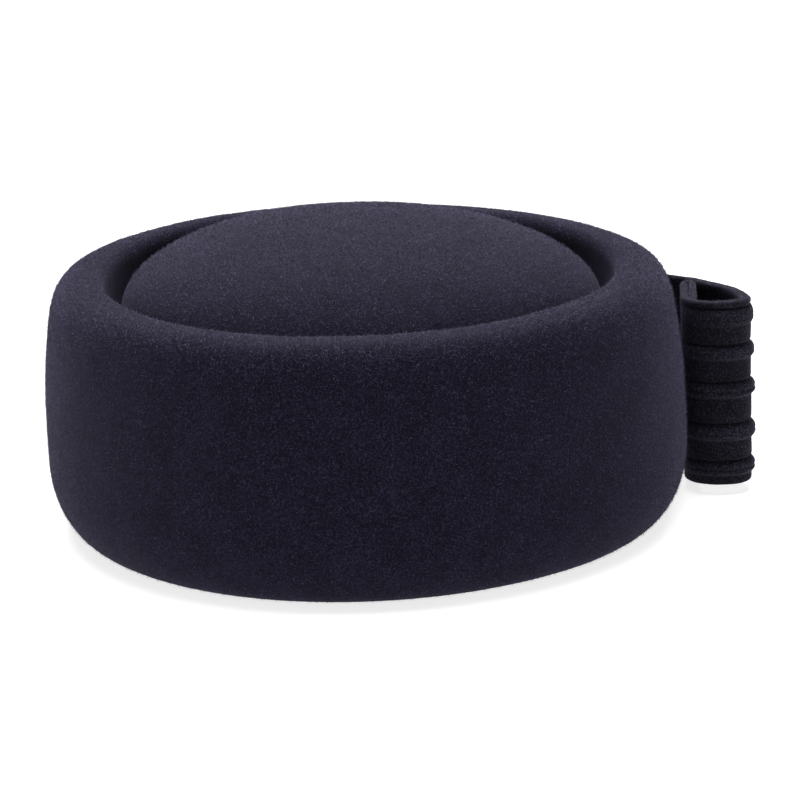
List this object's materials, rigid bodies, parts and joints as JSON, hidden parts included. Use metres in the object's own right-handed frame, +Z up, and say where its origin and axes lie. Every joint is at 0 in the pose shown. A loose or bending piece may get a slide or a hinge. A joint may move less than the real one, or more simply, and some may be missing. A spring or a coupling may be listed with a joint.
{
  "type": "pillbox hat",
  "caption": "Brimless round felt hat with a straight wall, a rolled rim round a sunken groove, a low dome, and a tucked felt loop standing upright against one side.",
  "frame": {"origin": "middle of the whole hat's box, loop included, at the height of the hem that it rests on", "axes": "+X towards the side that carries the loop, +Y away from the side that the picture looks at, +Z up towards the dome"},
  "size_m": [0.2158, 0.1962, 0.0931],
  "materials": {
    "body_felt": "brushed wool felt, dark navy, with a short soft nap",
    "loop_felt": "wool felt strip, dark navy, pressed into raised tucks"
  },
  "bodies": {
    "root": {"felt_body": "body_felt", "felt_loop": "loop_felt"}
  },
  "joints": []
}
